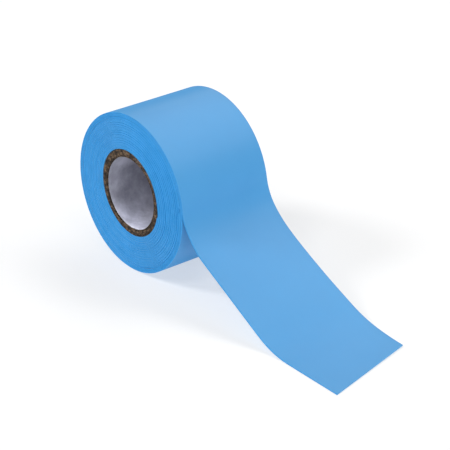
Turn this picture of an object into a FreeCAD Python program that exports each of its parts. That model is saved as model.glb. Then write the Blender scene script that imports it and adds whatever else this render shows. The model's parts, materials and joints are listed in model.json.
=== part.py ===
import FreeCAD, Part
import Sketcher

import math
import os

# A roll of grip tape on a spiral-wound paperboard core, standing on its rim, with a free tail
# that leaves the front of the roll, slopes down and lies flat on the surface.
#
# Millimetres. The origin is the centre of the core's bore, +Y runs along the bore, +X points
# towards the tail and +Z is up. Angles in the XZ plane are counted from +X towards +Z.

Vector = FreeCAD.Vector

doc = FreeCAD.newDocument("GripTapeRoll")

# ---------------------------------------------------------------------------------------------
# Driving dimensions
# ---------------------------------------------------------------------------------------------

DIMENSIONS = [
    ("tape_width", 38.0),          # the tape and the core are both this long along the bore
    ("roll_radius", 29.4),         # outside of the last turn where the tail leaves it
    ("core_inner_radius", 13.0),
    ("liner_thickness", 0.25),     # white paper that lines the bore
    ("kraft_thickness", 0.5),      # each brown board ply
    ("glue_line", 0.0125),         # room for glue between plies, and under the first turn
    ("kraft_plies", 4),
    ("seam_pitch", 60.0),          # length along the bore for one turn of a ply's seam
    ("seam_gap", 0.3),             # the plies' edges are butted this far apart
    ("seam_stagger", 100.0),       # degrees from one ply's seam to the next one's
    ("pack_turns", 30),            # whole turns under the last one
    ("film_share", 0.81),          # of the distance from one turn to the next
    ("adhesive_share", 0.15),
    ("turning_gap", 0.15),         # radial room for the pack to turn inside the last turn
    ("departure_angle", 8.0),      # where the tail leaves the roll
    ("crease_radius", 16.0),       # soft bend just after the tail leaves
    ("slope_angle", 26.0),         # the straight part of the tail, below horizontal
    ("landing_radius", 45.0),      # gentle bend where the tail comes to lie flat
    ("end_near_x", 108.1),         # corners of the slanted cut: at -Y ...
    ("end_far_x", 99.2),           # ... and at +Y
    ("hinge_gap", 0.05),           # half of the gap between lengths of tape that swing
]

sheet = doc.addObject("Spreadsheet::Sheet", "Dims")
for row, (alias, value) in enumerate(DIMENSIONS, start=1):
    sheet.set(f"A{row}", alias)
    sheet.set(f"B{row}", str(value))
    sheet.setAlias(f"B{row}", alias)
doc.recompute()

# ---------------------------------------------------------------------------------------------
# Sizes and places worked out from the driving dimensions
# ---------------------------------------------------------------------------------------------

LAYOUT = [
    # the core, from the bore outwards
    ("liner_outer", "Dims.core_inner_radius + Dims.liner_thickness"),
    ("ply_step", "Dims.kraft_thickness + Dims.glue_line"),
    ("core_outer", "Layout.liner_outer + Dims.kraft_plies * Layout.ply_step"),
    # the tape: film outside, adhesive inside, a hair of room on each side of the adhesive
    (
        "pitch",
        "(Dims.roll_radius - Dims.turning_gap - Layout.core_outer - Dims.glue_line)"
        " / (Dims.pack_turns + 3)",
    ),
    ("film", "Layout.pitch * Dims.film_share"),
    ("adhesive", "Layout.pitch * Dims.adhesive_share"),
    ("slip", "(Layout.pitch - Layout.film - Layout.adhesive) / 2"),
    ("adhesive_top", "Layout.film + Layout.slip"),
    ("tape_depth", "Layout.adhesive_top + Layout.adhesive"),
    ("pack_radius", "Dims.roll_radius - 2 * Layout.pitch - Dims.turning_gap"),
    # a turn is two half circles whose centres stand this far each side of the bore's axis,
    # on the line through the point where the tail leaves
    ("offset", "Layout.pitch / 4"),
    ("offset_x", "Layout.offset * cos(Dims.departure_angle)"),
    ("offset_z", "Layout.offset * sin(Dims.departure_angle)"),
    ("upper_radius", "Dims.roll_radius - Layout.offset"),
    ("lower_radius", "Dims.roll_radius - 3 * Layout.offset"),
    # what the roll and the flat end of the tail both stand on
    ("floor_z", "-Layout.lower_radius - Layout.offset_z"),
    # the crease: centre, turn, and the point where the straight slope starts
    ("crease_x", "(Dims.roll_radius + Dims.crease_radius) * cos(Dims.departure_angle)"),
    ("crease_z", "(Dims.roll_radius + Dims.crease_radius) * sin(Dims.departure_angle)"),
    ("crease_turn", "90 - Dims.slope_angle - Dims.departure_angle"),
    ("slope_x", "Layout.crease_x - Dims.crease_radius * sin(Dims.slope_angle)"),
    ("slope_z", "Layout.crease_z - Dims.crease_radius * cos(Dims.slope_angle)"),
    # the landing: its bend starts where the slope ends, and ends level at flat_z
    ("flat_z", "Layout.floor_z + Layout.tape_depth"),
    ("landing_z", "Layout.flat_z + Dims.landing_radius"),
    (
        "slope_length",
        "(Layout.slope_z - Layout.flat_z - Dims.landing_radius * (1 - cos(Dims.slope_angle)))"
        " / sin(Dims.slope_angle)",
    ),
    (
        "landing_x",
        "Layout.slope_x + Layout.slope_length * cos(Dims.slope_angle)"
        " + Dims.landing_radius * sin(Dims.slope_angle)",
    ),
    # the two bends are hinged at their middles
    ("crease_hinge", "180 + Dims.departure_angle + Layout.crease_turn / 2"),
    ("crease_clear", "Dims.hinge_gap / Dims.crease_radius * 180 / pi"),
    ("landing_hinge", "270 - Dims.slope_angle / 2"),
    ("landing_clear", "Dims.hinge_gap / Dims.landing_radius * 180 / pi"),
    ("end_slant", "atan((Dims.end_near_x - Dims.end_far_x) / Dims.tape_width)"),
]

layout = doc.addObject("App::VarSet", "Layout")
for name, expression in LAYOUT:
    layout.addProperty("App::PropertyFloat", name, "Layout")
    layout.setExpression(name, expression)
doc.recompute()

ALONG_BORE = "rotation(vector(1; 0; 0); 90)"  # turns a cylinder's own XY plane into XZ


def bind(obj, **expressions):
    """Sets an expression on each named property, and returns the object."""
    for name, expression in expressions.items():
        obj.setExpression(name, expression)
    return obj


def value(name):
    """A driving dimension, or a size worked out from them."""
    return float(sheet.get(name)) if name in dict(DIMENSIONS) else float(getattr(layout, name))


# ---------------------------------------------------------------------------------------------
# Lengths of tape
# ---------------------------------------------------------------------------------------------


def arc_band(name, centre, radii, start, turn):
    """A curved length of one layer: a ring sector about centre, across the tape's width."""
    place = (
        f"placement(vector({centre[0]}; Dims.tape_width / 2; {centre[1]});"
        f" {ALONG_BORE} * rotation(vector(0; 0; 1); {start}))"
    )
    outside = doc.addObject("Part::Cylinder", name + "_outside")
    bind(outside, Radius=radii[1], Height="Dims.tape_width", Angle=turn, Placement=place)
    inside = doc.addObject("Part::Cylinder", name + "_inside")
    bind(inside, Radius=radii[0], Height="Dims.tape_width", Placement=place)
    band = doc.addObject("Part::Cut", name)
    band.Base, band.Tool = outside, inside
    return band


def straight_band(name, start, down, length, top, thick):
    """A straight length of one layer, whose upper side lies top below the tape's own."""
    depth = f"({top} + {thick})"
    box = doc.addObject("Part::Box", name)
    return bind(
        box,
        Length=length,
        Width="Dims.tape_width",
        Height=thick,
        Placement=f"placement(vector({start[0]} - {depth} * sin({down});"
        f" -Dims.tape_width / 2; {start[1]} - {depth} * cos({down}));"
        f" rotation(vector(0; 1; 0); {down}))",
    )


def joined(label, lengths):
    """Lengths of one layer as one solid, under the sub-part's own label."""
    whole = doc.addObject("Part::MultiFuse", label)
    whole.Label = label
    whole.Shapes = lengths
    whole.Refine = True
    return whole


def outer_wrap(label, top, thick):
    """The last turn of the roll, and the tape from where it leaves the roll to the crease."""
    turn = "Dims.departure_angle"
    upper = arc_band(
        label + "_upper",
        ("Layout.offset_x", "Layout.offset_z"),
        (f"Layout.upper_radius - {top} - {thick}", f"Layout.upper_radius - {top}"),
        turn,
        "180",
    )
    lower = arc_band(
        label + "_lower",
        ("-Layout.offset_x", "-Layout.offset_z"),
        (f"Layout.lower_radius - {top} - {thick}", f"Layout.lower_radius - {top}"),
        f"180 + {turn}",
        "180",
    )
    crease = arc_band(
        label + "_crease",
        ("Layout.crease_x", "Layout.crease_z"),
        (f"Dims.crease_radius + {top}", f"Dims.crease_radius + {top} + {thick}"),
        f"180 + {turn}",
        "Layout.crease_turn / 2 - Layout.crease_clear",
    )
    return joined(label, [upper, lower, crease])


def tail_slope(label, top, thick):
    """From the crease's middle, down the straight slope, to the middle of the landing bend."""
    crease = arc_band(
        label + "_crease",
        ("Layout.crease_x", "Layout.crease_z"),
        (f"Dims.crease_radius + {top}", f"Dims.crease_radius + {top} + {thick}"),
        "Layout.crease_hinge + Layout.crease_clear",
        "Layout.crease_turn / 2 - Layout.crease_clear",
    )
    straight = straight_band(
        label + "_straight",
        ("Layout.slope_x", "Layout.slope_z"),
        "Dims.slope_angle",
        "Layout.slope_length",
        top,
        thick,
    )
    landing = arc_band(
        label + "_landing",
        ("Layout.landing_x", "Layout.landing_z"),
        (f"Dims.landing_radius + {top}", f"Dims.landing_radius + {top} + {thick}"),
        "270 - Dims.slope_angle",
        "Dims.slope_angle / 2 - Layout.landing_clear",
    )
    return joined(label, [crease, straight, landing])


def tail_end(label, top, thick):
    """The rest of the landing bend and the flat end, cut off on a slant."""
    reach = 10.0  # how far the cutting block runs past the tape on every side
    landing = arc_band(
        label + "_landing",
        ("Layout.landing_x", "Layout.landing_z"),
        (f"Dims.landing_radius + {top}", f"Dims.landing_radius + {top} + {thick}"),
        "Layout.landing_hinge + Layout.landing_clear",
        "Dims.slope_angle / 2 - Layout.landing_clear",
    )
    flat = straight_band(
        label + "_flat",
        ("Layout.landing_x", "Layout.flat_z"),
        "0",
        "Dims.end_near_x - Layout.landing_x",
        top,
        thick,
    )
    uncut = joined(label + "_uncut", [landing, flat])
    block = doc.addObject("Part::Box", label + "_block")
    bind(
        block,
        Length=f"2 * {reach}",
        Width=f"2 * Dims.tape_width + {reach}",
        Height=f"2 * {reach}",
        Placement=f"placement(vector(Dims.end_near_x + {reach} * sin(Layout.end_slant);"
        f" -Dims.tape_width / 2 - {reach} * cos(Layout.end_slant);"
        f" Layout.floor_z - {reach}); rotation(vector(0; 0; 1); Layout.end_slant))",
    )
    end = doc.addObject("Part::Cut", label)
    end.Label = label
    end.Base, end.Tool = uncut, block
    return end


def spiral_edges(depth):
    """The half circles of a surface depth below the tape's outside, from the pack's outer
    end to its inner end."""
    edges = []
    step, lean = value("pitch") / 2, math.radians(value("departure_angle"))
    for half in range(2 * int(value("pack_turns"))):
        side = 1 if half % 2 == 0 else -1
        radius = value("pack_radius") - value("offset") - half * step - depth
        points = []
        for angle in (0.0, 90.0, 180.0):
            turned = math.radians(angle + (0 if side > 0 else 180))
            across = side * value("offset") + radius * math.cos(turned)
            above = radius * math.sin(turned)
            x = across * math.cos(lean) - above * math.sin(lean)
            z = across * math.sin(lean) + above * math.cos(lean)
            points.append(Vector(x, -value("tape_width") / 2, z))
        edges.append(Part.Arc(*points).toShape())
    return edges


def tape_pack(label, top, thick):
    """All the turns under the last one: one layer wound from the pack's outside to the core."""
    outside = spiral_edges(top)
    inside = spiral_edges(top + thick)
    ends = [
        Part.makeLine(outside[index].Vertexes[corner].Point, inside[index].Vertexes[corner].Point)
        for index, corner in ((0, 0), (-1, -1))
    ]
    outline = Part.Wire(Part.__sortEdges__(outside + inside + ends))
    pack = doc.addObject("Part::Feature", label)
    pack.Label = label
    pack.Shape = Part.Face(outline).extrude(Vector(0, value("tape_width"), 0))
    return pack


# ---------------------------------------------------------------------------------------------
# The core
# ---------------------------------------------------------------------------------------------


def core_ply(label, inner, thickness, seam_angle):
    """A strip of paper wound into a tube, with the seam where its edges meet."""
    ring = doc.addObject("PartDesign::Body", label + "_tube")
    sketch = ring.newObject("Sketcher::SketchObject", label + "_section")
    plane = next(f for f in ring.Origin.OriginFeatures if f.Role == "XZ_Plane")
    sketch.AttachmentSupport, sketch.MapMode = (plane, ""), "FlatFace"
    for index, radius in enumerate((f"{inner}", f"{inner} + {thickness}")):
        first_guess = value("core_inner_radius") + index
        sketch.addGeometry(Part.Circle(Vector(0, 0, 0), Vector(0, 0, 1), first_guess), False)
        sketch.addConstraint(Sketcher.Constraint("Coincident", index, 3, -1, 1))
        size = sketch.addConstraint(Sketcher.Constraint("Radius", index, first_guess))
        sketch.setExpression(f"Constraints[{size}]", radius)
    pad = ring.newObject("PartDesign::Pad", label + "_pad")
    pad.Profile = sketch
    pad.Midplane = True
    bind(pad, Length="Dims.tape_width")

    overrun = 1.0  # the seam's cutter runs past the core's ends and both faces of the ply
    route = doc.addObject("Part::Helix", label + "_seam_route")
    bind(
        route,
        Pitch="Dims.seam_pitch",
        Height=f"Dims.tape_width + 2 * {overrun}",
        Radius=inner,
    )
    section = doc.addObject("Part::Plane", label + "_seam_section")
    bind(
        section,
        Length=f"2 * {overrun} + {thickness}",
        Width="Dims.seam_gap",
        Placement=f"placement(vector({inner} - {overrun}; 0; -Dims.seam_gap / 2);"
        " rotation(vector(1; 0; 0); 90))",
    )
    seam = doc.addObject("Part::Sweep", label + "_seam")
    seam.Sections, seam.Spine = [section], (route, [])
    seam.Solid, seam.Frenet = True, True
    bind(
        seam,
        Placement=f"placement(vector(0; Dims.tape_width / 2 + {overrun}; 0);"
        f" {ALONG_BORE} * rotation(vector(0; 0; 1); {seam_angle}))",
    )
    ply = doc.addObject("Part::Cut", label)
    ply.Label = label
    ply.Base, ply.Tool = ring, seam
    return ply


# ---------------------------------------------------------------------------------------------
# The sub-parts
# ---------------------------------------------------------------------------------------------

FILM = ("0", "Layout.film")
ADHESIVE = ("Layout.adhesive_top", "Layout.adhesive")

subparts = [core_ply("core_liner_ply", "Dims.core_inner_radius", "Dims.liner_thickness", "0")]
for number in range(1, int(value("kraft_plies")) + 1):
    subparts.append(
        core_ply(
            f"core_kraft_ply_{number}",
            f"Layout.liner_outer + Dims.glue_line + {number - 1} * Layout.ply_step",
            "Dims.kraft_thickness",
            f"{number} * Dims.seam_stagger",
        )
    )
subparts += [
    tape_pack("tape_pack", 0.0, value("film")),
    tape_pack("tape_pack_adhesive", value("adhesive_top"), value("adhesive")),
    outer_wrap("outer_wrap", *FILM),
    outer_wrap("outer_wrap_adhesive", *ADHESIVE),
    tail_slope("tail_slope", *FILM),
    tail_slope("tail_slope_adhesive", *ADHESIVE),
    tail_end("tail_end", *FILM),
    tail_end("tail_end_adhesive", *ADHESIVE),
]
doc.recompute()

for obj in doc.Objects:
    if {"Invalid", "Error"} & set(obj.State):
        raise RuntimeError(f"{obj.Name} failed: {obj.State}")

os.makedirs("parts", exist_ok=True)
for subpart in subparts:
    shape = subpart.Shape
    if shape.isNull() or not shape.isValid() or len(shape.Solids) != 1:
        raise RuntimeError(f"{subpart.Label} is not one sound solid")
    shape.exportStep(f"parts/{subpart.Label}.step")
    print(f"{subpart.Label:24s} {shape.Volume:10.2f} mm3  {len(shape.Faces):4d} faces")

for name, _ in LAYOUT:
    print(f"{name:16s} {value(name):9.4f}")
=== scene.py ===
"""A roll of smooth blue grip tape on a paperboard core, with its free tail lying on a pale floor.

Lengths are in metres. The origin is the centre of the core's bore, +Y runs along the bore, +X
points towards the tail and +Z is up. Across the tape, -1 is its -Y edge and +1 its +Y edge.
"""

import json
import math

import bmesh
import bpy
import numpy as np
from mathutils import Matrix, Vector, noise


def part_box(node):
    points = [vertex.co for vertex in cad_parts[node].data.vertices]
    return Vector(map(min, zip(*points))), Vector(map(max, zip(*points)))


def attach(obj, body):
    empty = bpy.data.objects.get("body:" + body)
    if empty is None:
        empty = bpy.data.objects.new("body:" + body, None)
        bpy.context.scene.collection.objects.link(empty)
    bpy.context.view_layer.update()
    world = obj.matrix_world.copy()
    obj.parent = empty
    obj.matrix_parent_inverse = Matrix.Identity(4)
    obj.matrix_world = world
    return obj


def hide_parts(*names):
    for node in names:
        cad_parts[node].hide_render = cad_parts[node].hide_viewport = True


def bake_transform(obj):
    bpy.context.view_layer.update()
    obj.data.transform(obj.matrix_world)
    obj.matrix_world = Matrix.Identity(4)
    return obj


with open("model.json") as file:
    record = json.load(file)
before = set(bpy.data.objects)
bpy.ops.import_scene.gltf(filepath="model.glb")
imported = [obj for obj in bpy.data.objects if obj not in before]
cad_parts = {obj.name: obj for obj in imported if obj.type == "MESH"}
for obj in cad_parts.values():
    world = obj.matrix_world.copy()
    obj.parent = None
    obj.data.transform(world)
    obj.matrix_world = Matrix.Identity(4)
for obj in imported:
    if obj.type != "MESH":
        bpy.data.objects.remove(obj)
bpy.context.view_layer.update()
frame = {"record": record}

MM = 0.001

# ---------------------------------------------------------------------------------------------
# Sizes, light and view. The roll's sizes come from the frame, the tape's are the CAD model's
# ---------------------------------------------------------------------------------------------

OUTER_TURNS = 4  # turns drawn with the tail, as one strip
PACK_TURNS = 27  # whole turns under them
TURNING_GAP = 0.15 * MM  # between the pack and the last turn in the CAD model
RUNNING_GAP = 0.03 * MM  # between them here
GLUE_LINE = 0.0125 * MM
FILM_SHARE = 0.81  # of the distance from one turn to the next
ADHESIVE_SHARE = 0.15
DEPARTURE = math.radians(8)  # where the tail leaves the roll, on the middle of its width
SEAM_PITCH = 60 * MM  # length along the bore for one turn of a ply's seam
SEAM_GAP = 0.3 * MM
SEAM_SHARE = 0.2  # the part of that gap that is left open here
SEAM_OVERRUN = 1 * MM  # a seam's angle is counted from this far past the +Y end
SEAM_STAGGER = math.radians(100)
STEP_SHARE = 0.05  # of each of the pack's turns, over which it steps in by one layer
CLIMB = 14  # how abruptly the innermost outer turn climbs over its own end: a power
PAST_END = 0.01  # of a turn: from this far past its own end that turn lies over the pack
# the rings on the roll's sides: the strip is laid in and out along the bore as it is wound
TURNS_PER_RIDGE = 2.32
RIDGE = 0.085 * MM
UNEVEN = 0.05 * MM  # what each turn strays besides
FIRST_RIDGE = 0.3  # the rings begin this part of a turn back from where the tail leaves
# the core is a little oval and off centre: how far its outside stands out, and at what angle
OVAL = 0.50 * MM
OVAL_AXIS = math.radians(127)
OFF_CENTRE = 0.22 * MM
OFF_CENTRE_SIDE = math.radians(165)
SWELLING = 0.10 * MM  # all round
LOOSE = 0.30 * MM  # on the off-centre side the pack stands off the core by up to this
LINER_SHORT = 0.5 * MM  # the lining stops this far inside the core's ends
FILM_EDGE = 0.06 * MM  # rounding of the film's cut edges
ADHESIVE_EDGE = 0.01 * MM
PACK_INSET = 0.06 * MM  # the pack's film is this much narrower on each side
ADHESIVE_INSET = 0.08 * MM  # the coat stops this far from the film's edges
PLY_LIP = 0.06 * MM  # bevel at the plies' cut ends, along the bore
PLY_BEVEL = 0.4 * PLY_LIP  # and across the ply
FRAYED = 40  # a cut end is frayed over one part in so many of half the width
PLY_SHADES = (0.80, 1.15, 1.20, 0.95)  # how pale each brown ply is, from the inside


def node_radius(node):
    """The outer radius of a round node about the bore's axis."""
    low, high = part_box(node)
    return (high.z - low.z) / 2


BORE_RADIUS = frame["record"]["mounts"][0]["dims"]["r_mm"] * MM
LINER_OUTER = node_radius("core_liner_ply")
CORE_OUTER = node_radius("core_kraft_ply_4")
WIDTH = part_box("tape_pack")[1].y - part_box("tape_pack")[0].y
TOP_OF_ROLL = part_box("outer_wrap")[1].z
# In the CAD model the wound tape takes up this many pitches. Its last turn is two half circles,
# so that its top is nearer the bore's axis than where the tail leaves, by a share of a pitch.
PITCHES = PACK_TURNS + OUTER_TURNS + 2
TOP_SHARE = (1 - math.sin(DEPARTURE)) / 4
PITCH = (TOP_OF_ROLL - TURNING_GAP - CORE_OUTER - GLUE_LINE) / (PITCHES - TOP_SHARE)
ROLL_RADIUS = TOP_OF_ROLL + PITCH * TOP_SHARE
FILM = PITCH * FILM_SHARE
ADHESIVE = PITCH * ADHESIVE_SHARE
ADHESIVE_TOP = (PITCH + FILM - ADHESIVE) / 2
TAPE_DEPTH = ADHESIVE_TOP + ADHESIVE
PACK_RADIUS = ROLL_RADIUS - OUTER_TURNS * PITCH - TAPE_DEPTH - RUNNING_GAP
PACK_PITCH = (PACK_RADIUS - CORE_OUTER - GLUE_LINE - TAPE_DEPTH) / PACK_TURNS
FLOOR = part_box("tail_end_adhesive")[0].z
FLAT = FLOOR + TAPE_DEPTH  # the upper side of the tape where it lies flat
END_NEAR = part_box("tail_end")[1].x  # the -Y corner of the slanted cut
SLANT = 8.9 * MM  # the +Y corner is this much nearer the roll
END_FAR = END_NEAR - SLANT

# the mesh of the outer turns and the tail: its columns, and its rows to a turn and down the tail
ACROSS = [-1, -0.98, -0.93, *(k / 12 for k in range(-10, 11)), 0.93, 0.98, 1]
OUTER_STEPS = 170
TAIL_STEP = 1 * MM
PACK_STEPS = 120  # rows to a turn of the pack
SQUARE_SHARE = 0.75  # of the tail's far edge, before its rows turn towards the slanted cut
SIDE_FACING = 0.4  # a face whose normal has more than this along Y is a side edge
SHARP = math.radians(50)  # edges more bent than this are shaded sharp
SPLIT_X = 56 * MM  # the tail's two pieces meet here, half way down its slope

LINER_PAINTED_LIGHT = 1.9  # painted light: the paper is drawn this many times as pale at the bottom near the -Y end, where light falls in through the bore's open end
# from where the painted light begins to where it is in full, down Z and along -Y
LINER_PAINTED_LIGHT_Z = (-6 * MM, -12 * MM)
LINER_PAINTED_LIGHT_Y = (-7 * MM, -17 * MM)
HORIZON = 1.02  # the world's strength for level and falling rays
SKY = 0.10  # and for steeply rising ones
SKY_STARTS, SKY_FULL = 0.10, 0.20  # the rise of a unit ray, from one to the other
FLOOR_HALF = 1.0  # half of its side
FLOOR_BELOW = 0.02 * MM  # under the tape
FLOOR_TONE = 0.45
FLOOR_GLOW = 0.54  # the floor is a pale panel lit from below
LIT_POINT = Vector((0.03, 0, 0))  # every lamp points here
# Each soft light's place, the width of its disk and its watts: an arch of five behind the roll,
# which gives the film its sheen, and four in front and at the side.
LIGHTS = {
    "arch_low": ((1.06, 0.82, 0.56), 0.7, 1.7),
    "arch_rising": ((0.63, 0.82, 1.02), 0.7, 4.2),
    "arch_top": ((0.04, 0.82, 1.20), 0.7, 4.3),
    "arch_falling": ((-0.56, 0.82, 1.06), 0.7, 3.1),
    "arch_far": ((-1.02, 0.82, 0.63), 0.7, 1.5),
    "side": ((1.50, -0.30, 0.35), 0.8, 7.2),
    "front_low": ((0.30, -1.40, 0.30), 0.6, 2.2),
    "front_left": ((-0.60, -0.90, 0.90), 0.4, 9.8),
    "front_high": ((0.30, -0.90, 1.10), 0.4, 4.4),
}

VIEW_AZIMUTH = math.radians(51.04)  # from -Y towards +X
VIEW_ELEVATION = math.radians(25.93)
VIEW_ROLL = math.radians(1.477)
VIEW_DISTANCE = 0.7057
# the camera looks at a point this far to the right of the origin and above it
AIM_RIGHT, AIM_UP = 18.73 * MM, -15.97 * MM
LENS = 159.5

# ---------------------------------------------------------------------------------------------
# Mesh helpers
# ---------------------------------------------------------------------------------------------


def piece(name, body, vertices, faces, material, replaced=()):
    """A smooth-shaded mesh that rides on a body, or on none yet if body is None."""
    mesh = bpy.data.meshes.new(name)
    mesh.from_pydata([tuple(v) for v in vertices], [], [tuple(f) for f in faces])
    mesh.validate()
    work = bmesh.new()
    work.from_mesh(mesh)
    bmesh.ops.recalc_face_normals(work, faces=work.faces)
    work.to_mesh(mesh)
    work.free()
    mesh.shade_smooth()
    mesh.set_sharp_from_angle(angle=SHARP)
    mesh.materials.append(material)
    obj = bpy.data.objects.new(name, mesh)
    bpy.context.scene.collection.objects.link(obj)
    if body:
        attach(obj, body)
    if replaced:
        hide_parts(*replaced)
    return obj


def tube_faces(rows, ring):
    """Faces of a closed ring of points swept through rows of them, with both ends capped."""
    faces = []
    for row in range(rows - 1):
        for k in range(ring):
            following = (k + 1) % ring
            a, b = row * ring + k, row * ring + following
            faces.append((a, b, b + ring, a + ring))
    for row in (0, rows - 1):
        first = row * ring
        for k in range(ring // 2 - 1):
            low, high = first + k, first + ring - 1 - k
            faces.append((low, low + 1, high - 1, high))
    return faces


def strip_section(half, thick, edge, across=(-1, 1)):
    """The section of a strip as (place across, depth) pairs, up one side and back on the other,
    with its side edges rounded by edge. across gives the columns, from -1 to 1."""
    corner = 0.3 * edge  # about the middle of a quarter circle
    upper = [(-half, edge), (-half + corner, corner)]
    upper += [(share * (half - edge), 0.0) for share in across]
    upper += [(half - corner, corner), (half, edge)]
    return upper + [(column, thick - depth) for column, depth in reversed(upper)]


def wander(x, y, z, seed, size):
    """Smooth noise from -1 to 1 that changes over about size."""
    return noise.noise(Vector((x / size + 17.3 * seed, y / size - 5.1 * seed, z / size)))


# ---------------------------------------------------------------------------------------------
# Materials
# ---------------------------------------------------------------------------------------------


class Nodes:
    """A material's node tree, with short calls for the nodes used here."""

    def __init__(self, name):
        self.material = bpy.data.materials.new(name)
        self.material.use_nodes = True
        self.tree = self.material.node_tree
        self.shader = self.tree.nodes["Principled BSDF"]
        self.place = self.tree.nodes.new("ShaderNodeTexCoord").outputs["Object"]

    def feed(self, node, inputs):
        """Links each input to a socket, or sets it to a number or colour."""
        for key, source in inputs.items():
            if isinstance(source, bpy.types.NodeSocket):
                self.tree.links.new(source, node.inputs[key])
            else:
                node.inputs[key].default_value = source

    def new(self, kind, inputs, **settings):
        node = self.tree.nodes.new(kind)
        for key, setting in settings.items():
            setattr(node, key, setting)
        self.feed(node, inputs)
        return node

    def combine(self, operation, first, second):
        inputs = {0: first, 1: second}
        return self.new("ShaderNodeMath", inputs, operation=operation).outputs[0]

    def noise(self, scale, detail, roughness=0.55, stretch=(1, 1, 1)):
        place = self.new("ShaderNodeMapping", {"Vector": self.place, "Scale": stretch})
        inputs = {
            "Vector": place.outputs["Vector"],
            "Scale": scale,
            "Detail": detail,
            "Roughness": roughness,
        }
        return self.new("ShaderNodeTexNoise", inputs).outputs["Fac"]

    def ramp(self, factor, stops):
        """A colour that runs through the stops, each a position and a colour."""
        node = self.new("ShaderNodeValToRGB", {"Fac": factor})
        elements = node.color_ramp.elements
        while len(elements) < len(stops):
            elements.new(0.5)
        for element, (position, colour) in zip(elements, stops):
            element.position = position
            element.color = (*colour, 1)
        return node.outputs["Color"]

    def spread(self, factor, low, high):
        """low where the factor is 0, high where it is 1."""
        return self.new(
            "ShaderNodeMapRange", {"Value": factor, "To Min": low, "To Max": high}
        ).outputs["Result"]

    def rise(self, place, start, end):
        """0 up to start, 1 from end on, and smooth between them."""
        inputs = {"Value": place, "From Min": start, "From Max": end}
        return self.new(
            "ShaderNodeMapRange", inputs, interpolation_type="SMOOTHSTEP"
        ).outputs["Result"]

    def bump(self, height, distance, over=None):
        """The normal over a height, and over another bump's normal if there is one."""
        inputs = {"Height": height, "Distance": distance}
        if over:
            inputs["Normal"] = over
        return self.new("ShaderNodeBump", inputs).outputs["Normal"]

    def finish(self, shader_inputs):
        self.feed(self.shader, shader_inputs)
        return self.material


def film_material():
    """Smooth matte blue film, with a faint grain and slightly uneven tone. It is duller still
    where it is seen at a low angle."""
    made = Nodes("tape film")
    tone = made.noise(35, 4)
    rough = made.spread(made.noise(140, 3), 0.38, 0.45)
    facing = made.new("ShaderNodeLayerWeight", {"Blend": 0.5}).outputs["Facing"]
    low_angle = made.rise(facing, 0.57, 0.86)
    broad = made.bump(made.noise(60, 2), 0.06 * MM)
    return made.finish(
        {
            "Base Color": made.ramp(
                tone, [(0.3, (0.042, 0.279, 0.596)), (0.7, (0.048, 0.295, 0.620))]
            ),
            "Roughness": made.combine("ADD", rough, made.spread(low_angle, 0.0, 0.34)),
            "Normal": made.bump(made.noise(2600, 2), 0.01 * MM, over=broad),
            "IOR": 1.5,
            "Specular IOR Level": 0.5,
        }
    )


def film_edge_material():
    """The film's cut edges on the roll's sides: duller, and a little uneven in tone."""
    made = Nodes("tape film edges")
    tone = made.noise(260, 4, 0.6)
    return made.finish(
        {
            "Base Color": made.ramp(
                tone, [(0.3, (0.019, 0.246, 0.582)), (0.7, (0.030, 0.279, 0.642))]
            ),
            "Roughness": 0.6,
            "Normal": made.bump(made.noise(1500, 3), 0.03 * MM),
            "Specular IOR Level": 0.25,
        }
    )


def adhesive_material():
    """The adhesive coat: the film's blue through a thin pale gloss."""
    made = Nodes("adhesive")
    tone = made.noise(300, 4)
    return made.finish(
        {
            "Base Color": made.ramp(
                tone, [(0.3, (0.110, 0.370, 0.680)), (0.7, (0.170, 0.430, 0.730))]
            ),
            "Roughness": made.spread(made.noise(90, 3), 0.30, 0.44),
            "Normal": made.bump(made.noise(700, 3), 0.03 * MM),
            "IOR": 1.48,
            "Specular IOR Level": 0.35,
        }
    )


def kraft_material(name, pale):
    """Brown board: fibres laid along the strip, darker fibre ends and specks."""
    made = Nodes(name)
    fibres = made.noise(800, 6, 0.75, stretch=(1, 0.35, 1))
    specks = made.noise(1900, 3, 0.6)
    base = made.ramp(
        fibres,
        [
            (0.38, (0.013 * pale, 0.010 * pale, 0.008 * pale)),
            (0.50, (0.040 * pale, 0.027 * pale, 0.018 * pale)),
            (0.61, (0.165 * pale, 0.108 * pale, 0.066 * pale)),
        ],
    )
    speckled = made.ramp(specks, [(0.36, (0.35, 0.32, 0.30)), (0.46, (1, 1, 1))])
    mixed = made.new(
        "ShaderNodeMix",
        {"Factor": 1.0, 6: base, 7: speckled},  # 6 and 7 are its two colours
        data_type="RGBA",
        blend_type="MULTIPLY",
    )
    return made.finish(
        {
            "Base Color": mixed.outputs[2],
            "Roughness": 0.92,
            "Normal": made.bump(fibres, 0.12 * MM),
            "Specular IOR Level": 0.25,
        }
    )


def liner_material():
    """Thin grey-white paper, mottled, with painted light: lighter at the bottom near the -Y end,
    where light falls into the bore.
    """
    made = Nodes("white paper")
    blotches = made.noise(120, 5, 0.62)
    base = made.ramp(
        blotches,
        [
            (0.34, (0.212, 0.217, 0.270)),
            (0.50, (0.314, 0.320, 0.388)),
            (0.66, (0.445, 0.450, 0.535)),
        ],
    )
    # painted light: the paper's colour is made lighter at the bottom of the bore near the -Y end,
    # where light falls in
    parts = made.new("ShaderNodeSeparateXYZ", {"Vector": made.place}).outputs
    low = made.rise(parts["Z"], *LINER_PAINTED_LIGHT_Z)
    near = made.rise(parts["Y"], *LINER_PAINTED_LIGHT_Y)
    painted_light_gain = made.spread(made.combine("MULTIPLY", low, near), 1.0, LINER_PAINTED_LIGHT)
    painted_light = made.new("ShaderNodeVectorMath", {"Vector": base, "Scale": painted_light_gain}, operation="SCALE")
    return made.finish(
        {
            "Base Color": painted_light.outputs["Vector"],
            "Roughness": 0.62,
            "Normal": made.bump(made.noise(1400, 5, 0.65), 0.05 * MM),
            "Specular IOR Level": 0.35,
        }
    )


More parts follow.
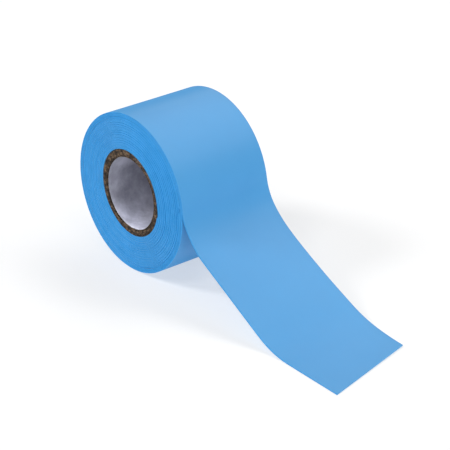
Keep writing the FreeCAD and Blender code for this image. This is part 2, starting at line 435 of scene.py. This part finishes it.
FILM_LOOK = film_material()
ADHESIVE_LOOK = adhesive_material()
LINER_LOOK = liner_material()
EDGE_LOOK = film_edge_material()

# ---------------------------------------------------------------------------------------------
# The core: five strips of paper wound into tubes, each with a slanting seam
# ---------------------------------------------------------------------------------------------


def seam_angle(y, turn):
    """Where round the core a ply's seam lies at y. turn is where it starts, at its +Y end."""
    return turn + math.tau * (WIDTH / 2 + SEAM_OVERRUN - y) / SEAM_PITCH


def bulge(angle, radius):
    """How far out the squeezed core pushes what lies at a radius: most at its own outside."""
    swell = SWELLING + OVAL * math.cos(2 * (angle - OVAL_AXIS))
    swell += OFF_CENTRE * math.cos(angle - OFF_CENTRE_SIDE)
    if radius < CORE_OUTER + GLUE_LINE / 2:
        return swell * max(0.0, radius - LINER_OUTER) / (CORE_OUTER - LINER_OUTER)
    swell += LOOSE * max(0.0, math.cos(angle - OFF_CENTRE_SIDE))
    return swell * (PACK_RADIUS - radius) / (PACK_RADIUS - CORE_OUTER)


def ply_mesh(name, inner, outer, turn, material, dent, fray, short=0.0):
    """A ply as its strip was wound. dent moves its surfaces in and out, fray its cut ends, and
    it is short of the core's ends by so much."""
    around, along = 220, 26  # rows round the core, and steps along it
    half = WIDTH / 2 - short
    across = [(half - PLY_LIP) * (2 * k / along - 1) for k in range(along + 1)]
    # the strip's section: inner side from -Y to +Y, then the outer side back
    section = [(inner + PLY_BEVEL, -half)] + [(inner, y) for y in across]
    section += [(inner + PLY_BEVEL, half), (outer - PLY_BEVEL, half)]
    section += [(outer, y) for y in reversed(across)] + [(outer - PLY_BEVEL, -half)]
    gap = SEAM_GAP * SEAM_SHARE / inner
    vertices = []
    for row in range(around + 1):
        share = row / around
        for radius, y in section:
            angle = seam_angle(y, turn) + gap / 2 + share * (math.tau - gap)
            x, z = math.cos(angle), math.sin(angle)
            moved = radius + bulge(angle, radius)
            moved += dent * wander(x * inner, y, z * inner, seed=turn + 2, size=5 * MM)
            end = max(0.0, abs(y) / half * FRAYED - (FRAYED - 1))  # 1 at a cut end, 0 inside
            place = (x * radius, radius * 9, z * radius)
            ragged = wander(*place, seed=turn + 5, size=0.7 * MM)
            ragged += 0.6 * wander(*place, seed=turn + 8, size=0.25 * MM)
            y_moved = y - math.copysign(abs(fray * ragged) * end, y)
            vertices.append((moved * x, y_moved, moved * z))
    return piece(
        name + "_strip",
        "wound_roll",
        vertices,
        tube_faces(around + 1, len(section)),
        material,
        replaced=[name],
    )


def core():
    """The white lining and the four brown plies."""
    ply_mesh(
        "core_liner_ply",
        BORE_RADIUS,
        LINER_OUTER,
        0.0,
        LINER_LOOK,
        dent=0.07 * MM,
        fray=0.15 * MM,
        short=LINER_SHORT,
    )
    for number, shade in enumerate(PLY_SHADES, start=1):
        node = f"core_kraft_ply_{number}"
        outer = node_radius(node)
        inner = outer - (CORE_OUTER - LINER_OUTER) / len(PLY_SHADES) + GLUE_LINE
        look = kraft_material(f"kraft board {number}", shade)
        seam = number * SEAM_STAGGER
        ply_mesh(node, inner, outer, seam, look, dent=0.0, fray=0.10 * MM)


# ---------------------------------------------------------------------------------------------
# The wound turns
# ---------------------------------------------------------------------------------------------


def smooth(share):
    """0 at 0 and 1 at 1, level at both."""
    share = min(1.0, max(0.0, share))
    return share * share * (3 - 2 * share)


def turn_shift(turns):
    """How far a turn stands out along the bore: the strip wanders a little as it is wound."""
    slow = noise.noise(Vector((turns * 0.30, 3.7, 0.0)))
    quick = noise.noise(Vector((turns * 1.6, 9.1, 0.0)))
    ridge = math.sin(math.tau * turns / TURNS_PER_RIDGE)
    return ridge * RIDGE * (0.8 + 0.6 * slow) + UNEVEN * quick


def stepped(turns):
    """How many turns further in the strip lies after so many turns: each is round, then steps in
    over its last part, where the turn under it does too."""
    whole = math.floor(turns)
    return whole + smooth((turns - whole - 1 + STEP_SHARE) / STEP_SHARE)


def spiral(name, node, depth, thick, edge, inset, material, fills=False):
    """One layer of all the pack's turns, with edges rounded by edge and set in by inset. If it
    fills, the outermost turn's upper side stays out where the turn steps in."""
    section = strip_section(WIDTH / 2 - inset, thick, edge)
    vertices = []
    rows = int((PACK_TURNS + 1 - STEP_SHARE) * PACK_STEPS)
    for row in range(rows):
        turns = row / PACK_STEPS
        angle = DEPARTURE + turns * math.tau
        shift = turn_shift(turns)
        outer = PACK_RADIUS - PACK_PITCH * stepped(turns) - depth
        raised = PACK_PITCH * stepped(turns) if fills and turns < 1 else 0.0
        for y, down in section:
            radius = outer - down + raised * (down < thick / 2)
            radius += bulge(angle, radius)
            vertices.append((radius * math.cos(angle), y + shift, radius * math.sin(angle)))
    faces = tube_faces(rows, len(section))
    return piece(name, "wound_roll", vertices, faces, material, [node])


def wound_turns():
    """The pack: the film and adhesive of all the turns under the outer ones."""
    film = spiral(
        "wound_film",
        "tape_pack",
        0,
        FILM,
        FILM_EDGE,
        PACK_INSET,
        EDGE_LOOK,
        fills=True,
    )
    adhesive = spiral(
        "wound_adhesive",
        "tape_pack_adhesive",
        ADHESIVE_TOP,
        ADHESIVE,
        ADHESIVE_EDGE,
        PACK_INSET + ADHESIVE_INSET,
        ADHESIVE_LOOK,
    )


# ---------------------------------------------------------------------------------------------
# The outer turns and the free tail
# ---------------------------------------------------------------------------------------------

# Each edge of the tail: the angle where it leaves the roll, its bends down to the straight slope,
# each a radius and the degrees below horizontal that it ends on, and the bends that lay it flat.
NEAR_EDGE = {
    "leaves": math.radians(7),
    "bends": [(10 * MM, 56), (38 * MM, 44), (16 * MM, 27.4)],
    "landing": [(32 * MM, 0)],
    "lift": 0.0,
}
FAR_EDGE = {
    "leaves": math.radians(12),
    "bends": [(18 * MM, 45), (35 * MM, 33), (75 * MM, 27), (300 * MM, 22)],
    "landing": [(50 * MM, 7), (110 * MM, 2)],
    "lift": 0.4 * MM,  # its corner stays off the floor
}

CURVE_STEP = 0.1 * MM
SOFTENING = 1.5 * MM  # each way along the tape, over which one bend runs into the next


def come_in(back):
    """How many pitches the strip has come in by, that many turns back from where it leaves. The
    innermost of these turns climbs over its own end at once, and each one out more slowly."""
    turn = min(int(back), OUTER_TURNS - 1)
    share = back - turn
    slowly = smooth(share)
    at_once = 1 - (1 - share) ** CLIMB
    return turn + slowly + (at_once - slowly) * turn / (OUTER_TURNS - 1)


def stand_off(back):
    """How many pitches of gap there are under the strip, that many turns back from where it
    leaves: over the next turn in, or over the pack from just past the strip's own end."""
    turn = min(int(back), OUTER_TURNS - 1)
    if turn < OUTER_TURNS - 1:
        return come_in(back + 1) - come_in(back) - 1
    return OUTER_TURNS - come_in(back) if back - turn > PAST_END else 0.0


def edge_curve(edge, end_x):
    """Points (x, z) every CURVE_STEP along an edge of the tape's upper side, from where it
    leaves the roll to its cut end at end_x."""
    x, z = ROLL_RADIUS * math.cos(edge["leaves"]), ROLL_RADIUS * math.sin(edge["leaves"])
    slope = math.pi / 2 - edge["leaves"]  # below horizontal
    bends = edge["bends"] + edge["landing"]
    slopes = [slope] + [math.radians(degrees) for _, degrees in bends]
    falls = [
        radius * (math.cos(after) - math.cos(before))
        for (radius, _), before, after in zip(bends, slopes, slopes[1:])
    ]
    knots = [0.0]
    for (radius, _), before, after in zip(bends, slopes, slopes[1:]):
        knots.append(knots[-1] + radius * (before - after))
    # the straight slope takes up the rest of the fall
    count = len(edge["bends"])
    straight = (z - FLAT - edge["lift"] - sum(falls)) / math.sin(slopes[count])
    knots = knots[: count + 1] + [knot + straight for knot in knots[count:]]
    slopes.insert(count, slopes[count])
    # longer than the tape, which is cut off at end_x below
    middles = np.arange(0, 2 * end_x, CURVE_STEP) + CURVE_STEP / 2
    heading = np.zeros(len(middles))
    offsets = np.linspace(-SOFTENING, SOFTENING, 7)
    for offset in offsets:
        heading += np.interp(middles + offset, knots, slopes) / len(offsets)
    xs = x + np.concatenate([[0], np.cumsum(np.cos(heading) * CURVE_STEP)])
    zs = z - np.concatenate([[0], np.cumsum(np.sin(heading) * CURVE_STEP)])
    inside = xs <= end_x
    return np.stack([xs[inside], np.maximum(zs[inside], FLAT)], axis=1)


def at(curve, length):
    """The point at a length along an edge's curve."""
    places = np.arange(len(curve)) * CURVE_STEP
    return [np.interp(length, places, curve[:, axis]) for axis in (0, 1)]


def tape_rows():
    """The tape's upper side as rows (near x, near z, far x, far z, shift along Y, gap under the
    tape), from its tucked-in end round the roll and down to the cut end, and each row's length
    from where the tail leaves."""
    near = edge_curve(NEAR_EDGE, END_NEAR)
    far = edge_curve(FAR_EDGE, END_FAR)
    rows, lengths = [], []

    # round the roll, each edge as far as it touches
    steps = OUTER_STEPS * OUTER_TURNS
    for k in range(steps):
        back = OUTER_TURNS * (1 - k / steps)
        radius = ROLL_RADIUS - PITCH * come_in(back)
        row = []
        for edge in (NEAR_EDGE, FAR_EDGE):
            ends_at = OUTER_TURNS * math.tau + DEPARTURE
            angle = edge["leaves"] + back / OUTER_TURNS * (ends_at - edge["leaves"])
            row += [radius * math.cos(angle), radius * math.sin(angle)]
        shift = smooth(back - FIRST_RIDGE) * turn_shift(back - OUTER_TURNS)
        rows.append(row + [shift, PITCH * stand_off(back)])
        lengths.append(-back * math.tau * (ROLL_RADIUS - PITCH * back / 2))

    # down the slope and along the floor
    near_length = (len(near) - 1) * CURVE_STEP
    far_length = (len(far) - 1) * CURVE_STEP
    squared = SQUARE_SHARE * far_length
    for share in np.linspace(0, 1, int(squared / TAIL_STEP)):
        length = share * squared
        rows.append(at(near, length) + at(far, length) + [0.0, 0.0])
        lengths.append(length)
    for share in np.linspace(0, 1, int((near_length - squared) / TAIL_STEP))[1:]:
        lengths.append(squared + share * (near_length - squared))
        far_point = at(far, squared + share * (far_length - squared))
        rows.append(at(near, lengths[-1]) + far_point + [0.0, 0.0])
    return np.array(rows), np.array(lengths)


def tape_layer(name, rows, depth, thick, edge, inset, material, replaced, fills=False):
    """A closed strip that follows the rows, its upper side depth below them. If it fills, its
    lower side reaches down over each row's gap."""
    section = strip_section(WIDTH / 2 - inset, thick, edge, ACROSS)
    y = np.array([place for place, _ in section])
    below = np.array([place for _, place in section])
    down = depth + below[None, :] + fills * rows[:, 5:6] * (below > thick / 2)
    mix = (y / WIDTH + 0.5)[None, :]
    x = rows[:, 0:1] * (1 - mix) + rows[:, 2:3] * mix
    z = rows[:, 1:2] * (1 - mix) + rows[:, 3:4] * mix
    along = np.stack([np.gradient(x, axis=0), np.zeros_like(x), np.gradient(z, axis=0)], axis=2)
    spread_x = (rows[:, 2:3] - rows[:, 0:1]) / WIDTH
    spread_z = (rows[:, 3:4] - rows[:, 1:2]) / WIDTH
    over = np.stack([spread_x + 0 * x, np.ones_like(x), spread_z + 0 * x], axis=2)
    normal = np.cross(along, over)
    normal /= np.linalg.norm(normal, axis=2, keepdims=True)
    points = np.stack([x, y[None, :] + rows[:, 4:5], z], axis=2) - normal * down[:, :, None]
    faces = tube_faces(len(rows), len(section))
    strip = piece(name, None, points.reshape(-1, 3), faces, material, replaced)
    strip.data.materials.append(EDGE_LOOK)
    for face in strip.data.polygons:
        if abs(face.normal.y) > SIDE_FACING:
            face.material_index = 1  # EDGE_LOOK
    return strip


def tape_part(name, rows, replaced):
    """A stretch of tape, film and adhesive, laid along the rows."""
    film = tape_layer(name, rows, 0, FILM, FILM_EDGE, 0, FILM_LOOK, replaced)
    coat = tape_layer(
        name + "_coat",
        rows,
        ADHESIVE_TOP,
        ADHESIVE,
        ADHESIVE_EDGE,
        ADHESIVE_INSET,
        ADHESIVE_LOOK,
        [node + "_adhesive" for node in replaced],
        fills=True,
    )
    for layer in (film, coat):
        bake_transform(layer)
    return film, coat


def tape():
    """The strip of the outer turns and the tail, as two pieces that meet on the slope."""
    rows, lengths = tape_rows()
    # both pieces share the row whose near edge is at the split
    split = int(np.searchsorted(np.where(lengths < 0, -1, rows[:, 0]), SPLIT_X))
    upper, upper_coat = tape_part(
        "tape_upper",
        rows[: split + 1],
        ["outer_wrap", "tail_slope"],
    )
    lower, lower_coat = tape_part(
        "tape_lower",
        rows[split:],
        ["tail_end"],
    )


# ---------------------------------------------------------------------------------------------
# Floor, light and camera
# ---------------------------------------------------------------------------------------------


def floor():
    """A pale floor that the roll and the end of the tail rest on."""
    mesh = bpy.data.meshes.new("floor")
    signs = [(-1, -1), (1, -1), (1, 1), (-1, 1)]
    corners = [(a * FLOOR_HALF, b * FLOOR_HALF, FLOOR - FLOOR_BELOW) for a, b in signs]
    mesh.from_pydata(corners, [], [(0, 1, 2, 3)])
    look = Nodes("floor").finish(
        {
            "Base Color": (FLOOR_TONE, FLOOR_TONE, FLOOR_TONE, 1),
            "Roughness": 0.8,
            "Specular IOR Level": 0.1,
            "Emission Color": (1, 1, 1, 1),
            "Emission Strength": FLOOR_GLOW,
        }
    )
    mesh.materials.append(look)
    obj = bpy.data.objects.new("floor", mesh)
    bpy.context.scene.collection.objects.link(obj)


def soft_light(name, place, size, power):
    """A disk of light of that width and so many watts, that faces LIT_POINT."""
    lamp = bpy.data.lights.new(name, "AREA")
    lamp.shape = "DISK"
    lamp.size = size
    lamp.energy = power
    obj = bpy.data.objects.new(name, lamp)
    bpy.context.scene.collection.objects.link(obj)
    obj.location = place
    obj.rotation_euler = (LIT_POINT - place).to_track_quat("-Z", "Y").to_euler()


def light():
    """The world, pale round the horizon and dim overhead, and the lamps."""
    world = bpy.data.worlds.new("studio")
    world.use_nodes = True
    tree = world.node_tree
    direction = tree.nodes.new("ShaderNodeTexCoord").outputs["Generated"]
    parts = tree.nodes.new("ShaderNodeSeparateXYZ")
    shade = tree.nodes.new("ShaderNodeMapRange")
    shade.interpolation_type = "SMOOTHSTEP"
    tree.links.new(direction, parts.inputs["Vector"])
    tree.links.new(parts.outputs["Z"], shade.inputs["Value"])
    tree.links.new(shade.outputs["Result"], tree.nodes["Background"].inputs["Strength"])
    tree.nodes["Background"].inputs["Color"].default_value = (1, 1, 1, 1)
    for socket, number in (
        ("From Min", SKY_STARTS),
        ("From Max", SKY_FULL),
        ("To Min", HORIZON),
        ("To Max", SKY),
    ):
        shade.inputs[socket].default_value = number
    bpy.context.scene.world = world
    bpy.context.scene.view_settings.view_transform = "Standard"
    for name, (place, size, power) in LIGHTS.items():
        soft_light(name, Vector(place), size, power)


def camera():
    """The view of the object: from the right of its near face, looking down."""
    back = Vector(
        (
            math.sin(VIEW_AZIMUTH) * math.cos(VIEW_ELEVATION),
            -math.cos(VIEW_AZIMUTH) * math.cos(VIEW_ELEVATION),
            math.sin(VIEW_ELEVATION),
        )
    )
    right = Vector((math.cos(VIEW_AZIMUTH), math.sin(VIEW_AZIMUTH), 0))
    up = back.cross(right)
    place = back * VIEW_DISTANCE
    aim = right * AIM_RIGHT + up * AIM_UP
    lens = bpy.data.cameras.new("camera")
    lens.sensor_width = 36
    lens.lens = LENS
    lens.clip_start = 0.01
    obj = bpy.data.objects.new("camera", lens)
    bpy.context.scene.collection.objects.link(obj)
    toward = (place - aim).normalized()
    level = Vector((0, 0, 1)).cross(toward).normalized()
    upright = toward.cross(level)
    rolled = math.cos(VIEW_ROLL) * level + math.sin(VIEW_ROLL) * upright
    obj.matrix_world = Matrix.Translation(place) @ Matrix(
        (rolled, toward.cross(rolled), toward)
    ).transposed().to_4x4()
    bpy.context.scene.camera = obj


core()
wound_turns()
tape()
floor()
light()
camera()
